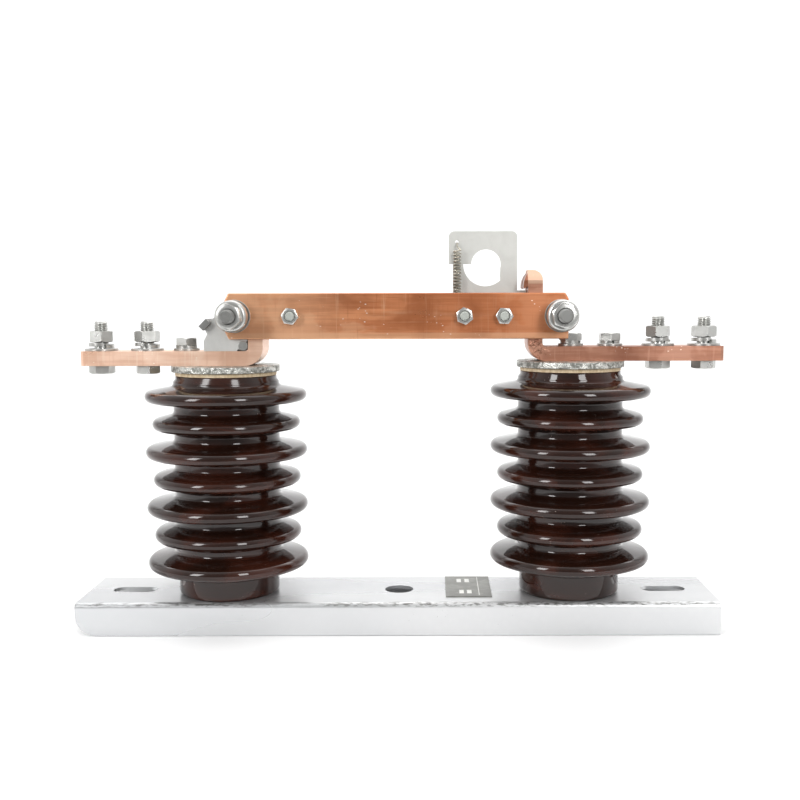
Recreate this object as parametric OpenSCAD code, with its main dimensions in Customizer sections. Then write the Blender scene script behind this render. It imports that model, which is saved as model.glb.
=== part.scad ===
// Single-pole outdoor disconnect switch: a steel channel carries two porcelain posts, and a
// hinged double copper blade bridges the two copper terminals on top of them.
// Units are millimetres. The origin is the centre of the channel's underside, +X points from
// the hinge post to the contact post, +Z is up and -Y is the front.

/* [Base channel] */
// Length of the channel
base_length = 548; // [500:5:660]
// Width of the channel
base_width = 90; // [84:1:110]
// Height of the channel
base_height = 28; // [22:1:40]
// Thickness of the channel's sheet
base_wall = 3; // [2.5:0.5:4]
// Outside radius of the channel's bends
base_bend = 4.5; // [4:0.5:6]
// Radius of the rounded flange corners at the hinge end
flange_corner = 18; // [5:1:22]
// Distance from each end of the channel to the middle of its mounting slot
slot_inset = 40; // [24:1:60]
// End-to-end length of a mounting slot
slot_length = 39; // [24:1:44]
// Width of a mounting slot
slot_width = 17; // [12:1:20]
// Diameter of the middle hole
centre_hole_d = 25; // [16:1:30]

/* [Porcelain posts] */
// Distance between the posts' axes
post_spacing = 300; // [280:5:360]
// Height of the contact post's porcelain
post_height = 194.5; // [190:0.5:240]
// How much shorter the hinge post's porcelain came out
hinge_post_drop = 3.5; // [0:0.5:6]
// Radius of the wide sheds
wide_shed_r = 69.5; // [64:0.5:75]
// Radius of the narrow sheds
narrow_shed_r = 63.5; // [58:0.5:68]
// Radius of the shed rims
rim_r = 5; // [4:0.1:5.5]
// Height of the lowest rim above the foot of the contact post
shed_low = 32.1; // [24:0.1:40]
// Number of sheds
shed_count = 7; // [5:1:7]
// Radius of the core between the sheds
core_r = 45.5; // [44:0.5:48]
// Radius of the neck above the top shed and of the foot under the lowest one
neck_r = 43.5; // [42.5:0.5:44]
// Radius of the cap plate
cap_r = 46.5; // [46:0.5:50]
// Thickness of the cap plate
cap_t = 5.5; // [4:0.5:8]
// Thickness of the gasket under the cap
gasket_t = 3.3; // [2:0.1:5]

/* [Copper] */
// Width of the terminal bars
bar_width = 35; // [30:1:42]
// Thickness of the terminal bars
bar_t = 12.5; // [10:0.5:15]
// How far the hinge terminal runs out past its post's axis
hinge_terminal_out = 121.5; // [120:0.5:150]
// How far the contact terminal runs out past its post's axis
contact_terminal_out = 129.5; // [120:0.5:150]
// Outside radius of the bend in the terminal bars
bar_bend = 15.5; // [15:0.5:20]
// How far the hinge bolt stands from the hinge post's axis, towards the middle
hinge_bolt_in = 12; // [10:0.5:14]
// How far the contact bolt stands from the contact post's axis, towards the middle
contact_bolt_in = 11; // [9:0.5:13]
// Height of a blade
blade_height = 39; // [34:1:44]
// Thickness of a blade
blade_t = 5; // [4:0.5:8]
// How far the blades run past the hinge bolt
heel = 9; // [8.5:0.5:10]
// How far the blades run past the contact bolt
toe = 6.5; // [6.5:0.5:10]
// Gap between the blades' lower edge and the higher terminal
blade_gap = 6.7; // [6:0.1:10]
// How far the contact tongue stands above the blades
tongue_rise = 19.5; // [12:0.5:24]

/* [Fasteners] */
// Diameter of the terminal bolts, the foot bolts and the blades' end bolts
large_bolt_d = 12; // [10:1:12]
// Diameter of the bolts through the caps
cap_bolt_d = 10; // [8:1:10]
// Diameter of the bolts that tie the blades together
tie_bolt_d = 8; // [6:1:8]
// Distance between the two bolts of a terminal
terminal_bolt_pitch = 40; // [38:0.5:42]

/* [Latch] */
// Thickness of the latch plate with the pull ring
latch_t = 3; // [2:0.5:4]
// Radius of the wide part of the ring's eye
eye_r = 19; // [16:0.5:20]

/* [Hidden] */
$fn = 64;

play = 0.3;          // gap between surfaces that slide on each other
bolt_play = 0.5;     // radial gap of a bolt in a clearance hole
thread_play = 0.1;   // radial gap of a bolt in its nut or tapped hole
pin_play = 0.05;     // radial gap of a pivot
over = 1;            // how far a cutting tool runs past a face

// Heights of the stack on each post, for the hinge side and the contact side
post_x = post_spacing / 2;
hinge_post_height = post_height - hinge_post_drop;
function cap_z(height) = base_height + height + gasket_t;
function bar_z(height) = cap_z(height) + cap_t;
function bar_top(height) = bar_z(height) + bar_t;
hinge_bar_top = bar_top(hinge_post_height);
contact_bar_top = bar_top(post_height);

// The blades' centre line, and the places along it
pivot_z = contact_bar_top + blade_gap + blade_height / 2;
hinge_reach = post_x + hinge_terminal_out;
contact_reach = post_x + contact_terminal_out;
hinge_x = -post_x + hinge_bolt_in;
contact_x = post_x - contact_bolt_in;
hinge_leg_x = -post_x + 22.5;           // inner face of the hinge terminal's upright leg
contact_leg_x = contact_x - 27.5;       // inner face of the contact terminal's upright leg
blade_inner = bar_width / 2 + play;
blade_outer = blade_inner + blade_t;
tie_bolt_x = [hinge_x + 47.7, contact_x - 81.8, contact_x - 48.2];  // the last carries the latch
latch_x = tie_bolt_x[2];
tongue_top = pivot_z + blade_height / 2 + tongue_rise;

large_hex = 19;
large_nut_h = 9.8;
large_head_h = 7.4;
large_washer_r = 14;
large_washer_t = 2;
spring_washer_r = 10.8;
spring_washer_t = 3;
spring_washer_room = 5.5;
cap_hex = 17;
cap_head_h = 6.4;
cap_washer_r = 11;
cap_washer_t = 2;
cap_spring_r = 9;
cap_spring_t = 2.8;
cap_bolt_offset = 34;
cap_bolt_depth = 12;
tie_hex = 13;
tie_nut_h = 6.5;
tie_head_h = 5.3;
tie_spacer_r = 6.5;
bracket_t = 3;
cup_r = 13.5;
cup_depth = 8;
cup_wall = 1.5;
cup_gap = 8;
end_spring_r = 10;
end_spring_wire = 2.4;
end_nut_h = 10.8;
end_bolt_overhang = 8.4;
foot_bolt_depth = 20;
foot_washer_r = 12;
foot_washer_t = 2.5;

// ---------------------------------------------------------------- shared shapes

function polar(centre, r, angle) = centre + r * [cos(angle), sin(angle)];

// The point where a line from p touches a circle, on the side that turn picks
function touch(p, centre, r, turn) =
    let (d = p - centre)
    polar(centre, r, atan2(d[1], d[0]) + turn * acos(r / norm(d)));

module ring(outer, inner, h) {
    difference() {
        cylinder(r = outer, h = h);
        translate([0, 0, -over]) cylinder(r = inner, h = h + 2 * over);
    }
}

// A six-sided block with its corners turned off, across flats af
module hex_block(af, h, bevel_low = true, bevel_high = true) {
    corner = af / sqrt(3) + 0.1;
    turned = af / 2 * 0.97;
    rise = (corner - turned) * 0.55;
    low = bevel_low ? [[0, 0], [turned, 0], [corner, rise]] : [[0, 0], [corner, 0]];
    high = bevel_high ? [[corner, h - rise], [turned, h], [0, h]] : [[corner, h], [0, h]];
    intersection() {
        translate([0, 0, -over]) cylinder(r = af / sqrt(3), h = h + 2 * over, $fn = 6);
        rotate_extrude() polygon(concat(low, high));
    }
}

// A bolt whose head lies under z = 0 and whose shank points up
module bolt(d, length, af, head_h) {
    tip = d * 0.1;
    translate([0, 0, -head_h]) hex_block(af, head_h, bevel_high = false);
    rotate_extrude() polygon([[0, -head_h / 2], [d / 2, -head_h / 2], [d / 2, length - tip],
        [d / 2 - tip, length], [0, length]]);
}

module nut(d, af, h) {
    difference() {
        hex_block(af, h);
        translate([0, 0, -over]) cylinder(r = d / 2 + thread_play, h = h + 2 * over);
    }
}

// A split ring that springs open, leaning between the washer and the nut
module spring_washer(outer, inner, t, room) {
    split = 2.5;
    tilt = asin((room - t) / (2 * outer));
    translate([0, 0, room / 2]) rotate([0, tilt, 0]) translate([0, 0, -t / 2])
        difference() {
            ring(outer, inner, t);
            rotate([0, 0, -60]) translate([0, -split / 2, -over])
                cube([outer + over, split, t + 2 * over]);
        }
}

// Lays a child that points up so that it points to the front
module facing_front() { rotate([90, 0, 0]) children(); }

// Draws a 2D outline in the XZ plane, with its thickness centred on y
module upright(t, y = 0) {
    translate([0, y + t / 2, 0]) rotate([90, 0, 0]) linear_extrude(t) children();
}

// ---------------------------------------------------------------- base

module channel_outline(width, height, r) {
    translate([-width / 2, -over]) square([width, height - r + over]);
    translate([-width / 2 + r, -over]) square([width - 2 * r, height + over]);
    for (side = [-1, 1]) translate([side * (width / 2 - r), height - r]) circle(r = r);
}

module slot(length, width, h) {
    for (side = [-1, 1]) translate([side * (length - width) / 2, 0, 0])
        cylinder(d = width, h = h);
    translate([-(length - width) / 2, -width / 2, 0]) cube([length - width, width, h]);
}

module base_channel() {
    inner_bend = base_bend - base_wall;
    top_cut = base_wall + 2 * over;
    color("gainsboro") difference() {
        translate([-base_length / 2, 0, 0]) rotate([90, 0, 90]) linear_extrude(base_length)
            difference() {
                channel_outline(base_width, base_height, base_bend);
                channel_outline(base_width - 2 * base_wall, base_height - base_wall, inner_bend);
                translate([-base_width, -base_height]) square([2 * base_width, base_height]);
            }
        translate([0, 0, base_height - base_wall - over]) {
            for (side = [-1, 1]) translate([side * (base_length / 2 - slot_inset), 0, 0])
                slot(slot_length, slot_width, top_cut);
            cylinder(d = centre_hole_d, h = top_cut);
            for (side = [-1, 1]) translate([side * post_x, 0, 0])
                cylinder(r = large_bolt_d / 2 + bolt_play, h = top_cut);
        }
        translate([-base_length / 2, base_width / 2 + over, 0]) rotate([90, 0, 0])
            linear_extrude(base_width + 2 * over) difference() {
                translate([-over, -over]) square(flange_corner + over);
                translate([flange_corner, flange_corner]) circle(r = flange_corner);
            }
    }
}

module rating_plate() {
    plate_x = [41, 81];
    plate_y = [-27, 39];
    plate_t = 1;
    color("dimgray") translate([plate_x[0], plate_y[0], base_height])
        cube([plate_x[1] - plate_x[0], plate_y[1] - plate_y[0], plate_t]);
}

module foot_bolts() {
    length = foot_washer_t + base_wall + foot_bolt_depth - 2;
    color("silver") for (side = [-1, 1])
        translate([side * post_x, 0, base_height - base_wall - foot_washer_t])
            bolt(large_bolt_d, length, large_hex, large_head_h);
}

module foot_washers() {
    color("silver") for (side = [-1, 1])
        translate([side * post_x, 0, base_height - base_wall - foot_washer_t])
            ring(foot_washer_r, large_bolt_d / 2 + bolt_play, foot_washer_t);
}

// ---------------------------------------------------------------- posts

shed_top_drop = 17.5;    // from the porcelain's top to the highest rim
shed_pitch = (post_height - shed_top_drop - shed_low) / (shed_count - 1);
shed_root_up = 8.5;      // how far a shed's upper face climbs to the core
shed_root_down = 6.5;    // how far its lower face falls to the core
root_fillet = 3.5;
foot_round = 3.5;

// The fillet between the core and a shed's face, which leaves the core at z for the point p:
// its centre, and where it meets the face
function slope(z, p, up) = atan2((p[1] - z) * up, p[0] - core_r);
function root(z, p, up) =
    let (a = slope(z, p, up))
    [core_r + root_fillet, z + up * root_fillet * (1 + sin(a)) / cos(a)];
function root_end(z, p, up) =
    let (a = slope(z, p, up))
    root(z, p, up) + root_fillet * [sin(a), -up * cos(a)];

module shed(r) {
    rim = [r - rim_r, 0];
    upper = touch([core_r, shed_root_up], rim, rim_r, -1);
    lower = touch([core_r, -shed_root_down], rim, rim_r, 1);
    high = root(shed_root_up, upper, 1);
    low = root(-shed_root_down, lower, -1);
    difference() {
        union() {
            translate(rim) circle(r = rim_r);
            polygon([[core_r - over, low[1]], low, root_end(-shed_root_down, lower, -1), lower,
                rim, upper, root_end(shed_root_up, upper, 1), high, [core_r - over, high[1]]]);
        }
        for (centre = [high, low]) translate(centre) circle(r = root_fillet);
    }
}

module insulator(height) {
    lowest = height - shed_top_drop - (shed_count - 1) * shed_pitch;
    neck_start = height - shed_top_drop + shed_root_up + root_fillet + 1;
    foot_end = lowest - shed_root_down - root_fillet - 1;
    color([0.23, 0.11, 0.08]) translate([0, 0, base_height]) difference() {
        rotate_extrude() difference() {
            union() {
                square([core_r, height]);
                for (i = [0 : shed_count - 1])
                    translate([0, height - shed_top_drop - i * shed_pitch])
                        shed(i % 2 == 0 ? wide_shed_r : narrow_shed_r);
            }
            translate([neck_r, neck_start]) square([core_r, height]);
            foot_cut(foot_end);
        }
        translate([0, 0, -over])
            cylinder(r = large_bolt_d / 2 + thread_play, h = foot_bolt_depth + over);
        for (x = [0, cap_bolt_offset]) translate([x, 0, height - cap_bolt_depth])
            cylinder(r = cap_bolt_d / 2 + thread_play, h = cap_bolt_depth + over);
    }
}

// Takes the core down to the foot's radius and rounds its lower edge
module foot_cut(top) {
    edge = neck_r - foot_round;
    translate([neck_r, 0]) square([core_r, top]);
    difference() {
        translate([edge, -over]) square([core_r, foot_round + over]);
        translate([edge, foot_round]) circle(r = foot_round);
    }
}

module hinge_side() { translate([-post_x, 0, 0]) mirror([1, 0, 0]) children(); }
module contact_side() { translate([post_x, 0, 0]) children(); }

module disc_on_post(r, t, z, colour) {
    color(colour) translate([0, 0, z]) difference() {
        cylinder(r = r, h = t);
        for (x = [0, cap_bolt_offset]) translate([x, 0, -over])
            cylinder(r = cap_bolt_d / 2 + thread_play, h = t + 2 * over);
    }
}

module gasket(height) { disc_on_post(neck_r, gasket_t, base_height + height, "burlywood"); }
module cap_plate(height) { disc_on_post(cap_r, cap_t, cap_z(height), "lightgray"); }

// ---------------------------------------------------------------- terminals

line_bolt_inset = 13.5;
function line_bolt_x(reach) =
    [for (i = [0, 1]) reach - line_bolt_inset - i * terminal_bolt_pitch];

// An L of flat bar: it lies on the cap and turns up towards the middle of the switch
module terminal_outline(z, top, leg_x, reach) {
    inner_bend = bar_bend - bar_t;
    corner = [leg_x + bar_bend, z + bar_bend];
    difference() {
        union() {
            translate([corner[0] - over, z]) square([reach - corner[0] + over, bar_t]);
            translate([leg_x, corner[1] - over]) square([bar_t, top - corner[1] + over]);
            intersection() {
                translate([leg_x, z]) square(bar_bend);
                translate(corner) circle(r = bar_bend);
            }
        }
        translate(corner) circle(r = inner_bend);
    }
}

module terminal(z, top, leg_x, reach) {
    corner_cut = 3;
    half = bar_width / 2;
    difference() {
        upright(bar_width) terminal_outline(z, top, leg_x, reach);
        for (x = line_bolt_x(reach)) translate([x, 0, z - over])
            cylinder(r = large_bolt_d / 2 + bolt_play, h = bar_t + 2 * over);
        for (x = [0, cap_bolt_offset]) translate([post_x + x, 0, z - over])
            cylinder(r = cap_bolt_d / 2 + bolt_play, h = bar_t + 2 * over);
        for (side = [-1, 1]) translate([reach, side * half, z - over])
            rotate([0, 0, 45]) cube([corner_cut * sqrt(2), corner_cut * sqrt(2), 3 * bar_t],
                center = true);
    }
}

module hinge_terminal() {
    leg_top = pivot_z + 14;
    color("peru") mirror([1, 0, 0])
        terminal(bar_z(hinge_post_height), leg_top, -hinge_leg_x - bar_t, hinge_reach);
}

lead_in = [8, 9];      // how far the tongue's lead-in reaches in and down
tongue_corner = 8;     // radius of the tongue's outer corner
catch_slot = 7;        // width of the slot the latch swings in
catch_low = 1.5;       // the slot's floor above the blades' centre line
catch_out = 4;         // how far the lip stands out from the leg

// The lip on the tongue's inner face that the latch catches under
module lip_outline() {
    z = pivot_z + 23;
    polygon([[contact_leg_x + 3, z + 2], [contact_leg_x, z + 2], [contact_leg_x - 3.2, z],
        [contact_leg_x - catch_out, z + 1.5], [contact_leg_x - 3.6, z + 6],
        [contact_leg_x - 2, z + 10.5], [contact_leg_x, z + 13.5], [contact_leg_x + 3, z + 15]]);
}

module contact_terminal() {
    half = bar_width / 2;
    outer = contact_leg_x + bar_t;
    color("peru") difference() {
        union() {
            terminal(bar_z(post_height), tongue_top, contact_leg_x, contact_reach);
            upright(bar_width) lip_outline();
        }
        for (side = [-1, 1]) mirror([0, side < 0 ? 1 : 0, 0])
            translate([contact_leg_x - 2 * catch_out, 0, 0]) rotate([90, 0, 90])
                linear_extrude(bar_t + 3 * catch_out) polygon([
                    [half, tongue_top - lead_in[1]], [half - lead_in[0], tongue_top],
                    [half - lead_in[0], tongue_top + over], [half + over, tongue_top + over],
                    [half + over, tongue_top - lead_in[1]]]);
        upright(bar_width + 2 * over) difference() {
            translate([outer - tongue_corner, tongue_top - tongue_corner])
                square(tongue_corner + over);
            translate([outer - tongue_corner, tongue_top - tongue_corner])
                circle(r = tongue_corner);
        }
        translate([contact_leg_x - 2 * catch_out, -catch_slot / 2, pivot_z + catch_low])
            cube([bar_t + 3 * catch_out, catch_slot, tongue_top]);
    }
}

module on_each_line_bolt() {
    for (x = line_bolt_x(contact_reach)) translate([x, 0, bar_z(post_height)]) children();
    for (x = line_bolt_x(hinge_reach)) translate([-x, 0, bar_z(hinge_post_height)]) children();
}

line_nut_z = bar_t + large_washer_t + spring_washer_room;

module line_bolts() {
    length = line_nut_z + large_nut_h + 8.1;
    color("silver") on_each_line_bolt() bolt(large_bolt_d, length, large_hex, large_head_h);
}

module line_washers() {
    color("silver") on_each_line_bolt() translate([0, 0, bar_t])
        ring(large_washer_r, large_bolt_d / 2 + bolt_play, large_washer_t);
}

module line_spring_washers() {
    color("silver") on_each_line_bolt() translate([0, 0, bar_t + large_washer_t])
        spring_washer(spring_washer_r, large_bolt_d / 2 + 1, spring_washer_t,
            spring_washer_room);
}

module line_nuts() {
    color("silver") on_each_line_bolt() translate([0, 0, line_nut_z])
        nut(large_bolt_d, large_hex, large_nut_h);
}

// Places a child on the top of the bar, or of the bracket, at each bolt through a cap
module on_each_cap_bolt() {
    for (x = [0, cap_bolt_offset]) {
        translate([post_x + x, 0, contact_bar_top]) children();
        translate([-post_x - x, 0, hinge_bar_top + (x == 0 ? bracket_t : 0)]) children();
    }
}

module cap_bolts() {
    length = cap_washer_t + cap_spring_t + bar_t + cap_t + gasket_t + 8;
    color("silver") on_each_cap_bolt() translate([0, 0, cap_washer_t + cap_spring_t])
        mirror([0, 0, 1]) bolt(cap_bolt_d, length, cap_hex, cap_head_h);
}

module cap_spring_washers() {
    color("silver") on_each_cap_bolt() translate([0, 0, cap_washer_t])
        spring_washer(cap_spring_r, cap_bolt_d / 2 + bolt_play, cap_spring_t, cap_spring_t);
}

module cap_washers() {
    color("silver") on_each_cap_bolt()
        ring(cap_washer_r, cap_bolt_d / 2 + bolt_play, cap_washer_t);
}

// ---------------------------------------------------------------- hinge bracket

bracket_outer = blade_inner - 0.8;
ear_r = 12;
ear_play = 0.5;                               // gap between the bracket and the upright leg
bracket_x = [-post_x - 15.5, hinge_leg_x - ear_play];  // the bracket's two ends
stop_size = [9, 5.5];
stop_gap = 0.8;                               // gap the open blades leave to the stop bar
stop_reach = (stop_size[0] + stop_size[1]) / 2 * sin(45);
stop_centre = [hinge_x - blade_height / 2 - stop_gap - stop_reach, pivot_z - 7];
bracket_pin_r = 4;
bracket_pin_at = [bracket_x[1] + 0.1 - bracket_pin_r, hinge_bar_top + 0.5 + bracket_pin_r];

module stop_outline() { translate(stop_centre) rotate(45) square(stop_size, center = true); }

module ear_outline() {
    pivot = [hinge_x, pivot_z];
    low = hinge_bar_top + bracket_t / 2;
    difference() {
        union() {
            intersection() {
                translate(pivot) circle(r = ear_r);
                translate([bracket_x[0], low]) square([bracket_x[1] - bracket_x[0], 60]);
            }
            polygon([
                [bracket_x[0], low], [bracket_x[0], low + 7], [bracket_x[0] + 3, low + 13],
                stop_centre + [-1, -3.5], stop_centre, pivot + [-9, 7], pivot,
                [bracket_x[1], pivot_z], [bracket_x[1], bracket_pin_at[1] + 5],
                [bracket_pin_at[0] + 0.5, bracket_pin_at[1]], [bracket_pin_at[0] + 0.5, low]]);
        }
        translate(pivot) circle(r = large_bolt_d / 2 + pin_play);
        translate(bracket_pin_at) circle(r = bracket_pin_r + 0.01);
        stop_outline();
    }
}

module hinge_bracket() {
    inner = bracket_outer - bracket_t;
    web_end = bracket_pin_at[0] - bracket_pin_r - 1;
    color("lightgray") difference() {
        union() {
            for (side = [-1, 1])
                upright(bracket_t, side * (bracket_outer - bracket_t / 2)) ear_outline();
            translate([bracket_x[0], -bracket_outer, hinge_bar_top])
                cube([web_end - bracket_x[0], 2 * bracket_outer, bracket_t]);
        }
        translate([-post_x, 0, hinge_bar_top - over])
            cylinder(r = cap_bolt_d / 2 + bolt_play, h = bracket_t + 2 * over);
    }
}

module stop_bar() { color("darkgray") upright(2 * blade_outer) stop_outline(); }

module bracket_pin() {
    color("silver") upright(2 * blade_inner) translate(bracket_pin_at)
        circle(r = bracket_pin_r);
}

// ---------------------------------------------------------------- blades

heel_corner = [4, 8];    // the corners cut off the blades' hinge ends
toe_corner = [3, 5];     // the upper corner cut off their contact ends

module blade_outline() {
    left = hinge_x - heel;
    right = contact_x + toe;
    h = blade_height / 2;
    difference() {
        polygon([[left, -h + heel_corner[1]], [left + heel_corner[0], -h], [right, -h],
            [right, h - toe_corner[1]], [right - toe_corner[0], h], [left + heel_corner[0], h],
            [left, h - heel_corner[1]]]);
        for (x = [hinge_x, contact_x]) translate([x, 0]) circle(r = large_bolt_d / 2 + thread_play);
        for (x = tie_bolt_x) translate([x, 0]) circle(r = tie_bolt_d / 2 + thread_play);
    }
}

module blade(side) {
    color("chocolate") upright(blade_t, side * (blade_inner + blade_t / 2))
        translate([0, pivot_z]) blade_outline();
}

// The stack outside the front blade at each end bolt, measured out from the blade
cup_back = large_washer_t + cup_gap;
cup_front = cup_back + cup_depth;
end_bolt_length = 2 * blade_outer + large_washer_t + cup_front + end_nut_h + end_bolt_overhang;

module end_bolt(x) {
    color("silver") translate([x, blade_outer + large_washer_t, pivot_z]) facing_front()
        bolt(large_bolt_d, end_bolt_length, large_hex, large_head_h);
}

module end_washers(x) {
    color("silver") for (y = [-blade_outer, blade_outer + large_washer_t])
        translate([x, y, pivot_z]) facing_front()
            ring(large_washer_r, large_bolt_d / 2 + thread_play, large_washer_t);
}

// A pressed steel bowl over the spring, with its mouth towards the blade
module end_cup(x) {
    round_r = 2.5;
    bore = large_bolt_d / 2 + thread_play;
    color("silver") translate([x, -blade_outer - cup_back, pivot_z]) facing_front()
        rotate_extrude() difference() {
            union() {
                square([cup_r, cup_depth - round_r]);
                square([cup_r - round_r, cup_depth]);
                translate([cup_r - round_r, cup_depth - round_r]) circle(r = round_r);
            }
            translate([-over, -over]) square([cup_r - cup_wall + over, cup_depth - cup_wall + over]);
            translate([-over, 0]) square([bore + over, cup_depth + over]);
        }
}

// The coil that presses the blades on the contacts: a row of turns on a thin sleeve
module end_spring(x) {
    length = cup_gap + cup_depth - cup_wall;
    turns = 4;
    pitch = (length - end_spring_wire) / (turns - 1);
    sleeve_r = end_spring_r - end_spring_wire / 2;
    color("gray") translate([x, -blade_outer - large_washer_t, pivot_z]) facing_front() {
        ring(sleeve_r, sleeve_r - 1.2, length);
        for (i = [0 : turns - 1]) translate([0, 0, i * pitch])
            ring(end_spring_r, sleeve_r - 0.6, end_spring_wire);
    }
}

module end_nut(x) {
    color("silver") translate([x, -blade_outer - cup_front, pivot_z]) facing_front()
        rotate([0, 0, 10]) nut(large_bolt_d, large_hex, end_nut_h);
}

module contact_spacer() {
    color("silver") translate([contact_x, blade_inner, pivot_z]) facing_front()
        ring(large_bolt_d / 2 + 2, large_bolt_d / 2 + thread_play, 2 * blade_inner);
}

module tie_bolts() {
    length = 2 * blade_outer + tie_nut_h + 1.2;
    color("silver") for (x = tie_bolt_x) translate([x, blade_outer, pivot_z]) facing_front()
        bolt(tie_bolt_d, length, tie_hex, tie_head_h);
}

module tie_nuts() {
    color("silver") for (x = tie_bolt_x) translate([x, -blade_outer, pivot_z]) facing_front()
        rotate([0, 0, 30]) nut(tie_bolt_d, tie_hex, tie_nut_h);
}

// Tubes that keep the blades apart; the latch's bolt has one on each side of the plate
module tie_spacers() {
    bore = tie_bolt_d / 2 + thread_play;
    half = blade_inner - latch_t / 2 - play;
    color("silver") {
        for (x = [tie_bolt_x[0], tie_bolt_x[1]]) translate([x, blade_inner, pivot_z])
            facing_front() ring(tie_spacer_r, bore, 2 * blade_inner);
        for (y = [blade_inner, half - blade_inner]) translate([latch_x, y, pivot_z])
            facing_front() ring(tie_spacer_r, bore, half);
    }
}

// ---------------------------------------------------------------- latch

// Sizes of the ring plate, measured from its pivot bolt
ring_left = -46.6;
ring_right = 12.5;
ring_top = 72.5;
ring_corner = 5;
ring_waist = [3.5, 44.5];          // how far the left edge steps in, and at what height
eye_at = [-15.1, 44.4];
eye_flat = -2.2;                   // the wide part's straight side, from the pivot bolt
eye_top_r = 12.7;
eye_top_at = [-14.4, 44.4];
arm_top = 21.8;
arm_tip = 20.2;
hub_r = 10;
spring_hole = [-39.5, 63.5];
spring_hole_r = 1.4;

module eye() {
    intersection() {
        translate(eye_at) circle(r = eye_r);
        translate([eye_at[0] - 2 * eye_r, 0])
            square([eye_flat - eye_at[0] + 2 * eye_r, eye_at[1]]);
    }
    translate(eye_top_at) circle(r = eye_top_r);
}

module ring_outline() {
    c = ring_corner;
    left = ring_left + ring_waist[0];
    low = 14.5;
    difference() {
        union() {
            translate([ring_left, ring_waist[1]])
                square([ring_right - ring_left, ring_top - ring_waist[1] - c]);
            translate([ring_left + c, ring_top - 2 * c])
                square([ring_right - ring_left - 2 * c, 2 * c]);
            for (x = [ring_left + c, ring_right - c]) translate([x, ring_top - c]) circle(r = c);
            translate([left, low + 5]) square([ring_right - left, ring_waist[1] - low - 5 + over]);
            circle(r = hub_r);
            polygon([[left, arm_top], [left, low], [left + 19, low], polar([0, 0], hub_r - 1, 215),
                [0, 0], polar([0, 0], hub_r - 1, -20), [arm_tip, arm_top - 4.5], [arm_tip, arm_top]]);
        }
        eye();
        circle(r = tie_bolt_d / 2 + pin_play);
        translate(spring_hole) circle(r = spring_hole_r);
    }
}

module ring_plate() {
    color("lightgray") upright(latch_t) translate([latch_x, pivot_z]) ring_outline();
}

// The return spring hangs in front of the plate, from its top corner to the middle tie bolt
spring_r = 3.7;
spring_bore = 2.1;
spring_wire_r = 0.6;
spring_y = -latch_t / 2 - spring_r - 0.5;

module latch_spring() {
    x = latch_x + spring_hole[0];
    hook_top = pivot_z + spring_hole[1];
    coil_top = hook_top - 4;
    aside = tie_bolt_x[1] - x - spring_r;
    coil_low = pivot_z + sqrt(tie_spacer_r * tie_spacer_r - aside * aside);
    color("gray") {
        translate([x, spring_y, coil_low]) difference() {
            cylinder(r = spring_r, h = coil_top - coil_low);
            translate([0, 0, -over])
                cylinder(r = spring_bore, h = coil_top - coil_low - 2);
        }
        translate([x, spring_y, coil_top - over])
            cylinder(r = spring_wire_r, h = hook_top - coil_top + over);
        translate([x, spring_y, hook_top]) sphere(r = spring_wire_r);
        translate([x, spring_y, hook_top]) rotate([-90, 0, 0])
            cylinder(r = spring_wire_r, h = -spring_y + latch_t / 2 + 1);
    }
}

// ---------------------------------------------------------------- the switch

base_channel();
rating_plate();
hinge_side() insulator(hinge_post_height);  // insulator_left
contact_side() insulator(post_height);  // insulator_right
hinge_side() gasket(hinge_post_height);  // gasket_left
contact_side() gasket(post_height);  // gasket_right
hinge_side() cap_plate(hinge_post_height);  // cap_plate_left
contact_side() cap_plate(post_height);  // cap_plate_right
foot_bolts();
foot_washers();
hinge_terminal();
contact_terminal();
cap_bolts();
cap_spring_washers();
cap_washers();
line_bolts();
line_washers();
line_spring_washers();
line_nuts();
hinge_bracket();
stop_bar();
bracket_pin();
blade(-1);  // blade_front
blade(1);  // blade_rear
end_bolt(hinge_x);  // hinge_bolt
end_washers(hinge_x);  // hinge_washers
end_spring(hinge_x);  // hinge_spring
end_cup(hinge_x);  // hinge_cup
end_nut(hinge_x);  // hinge_nut
end_bolt(contact_x);  // contact_bolt
end_washers(contact_x);  // contact_washers
end_spring(contact_x);  // contact_spring
end_cup(contact_x);  // contact_cup
end_nut(contact_x);  // contact_nut
contact_spacer();
tie_bolts();
tie_nuts();
tie_spacers();
ring_plate();
latch_spring();
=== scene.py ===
"""Looks of the disconnect switch: porcelain posts, copper bars and blades, plated fasteners and a
folded galvanised channel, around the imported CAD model. Metres throughout; +X runs from the hinge
post to the contact post, -Y is the front and +Z is up."""

from math import acos, atan2, cos, degrees, hypot, pi, radians, sin, tan

import bmesh
import bpy
from mathutils import Matrix, Quaternion, Vector


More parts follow.
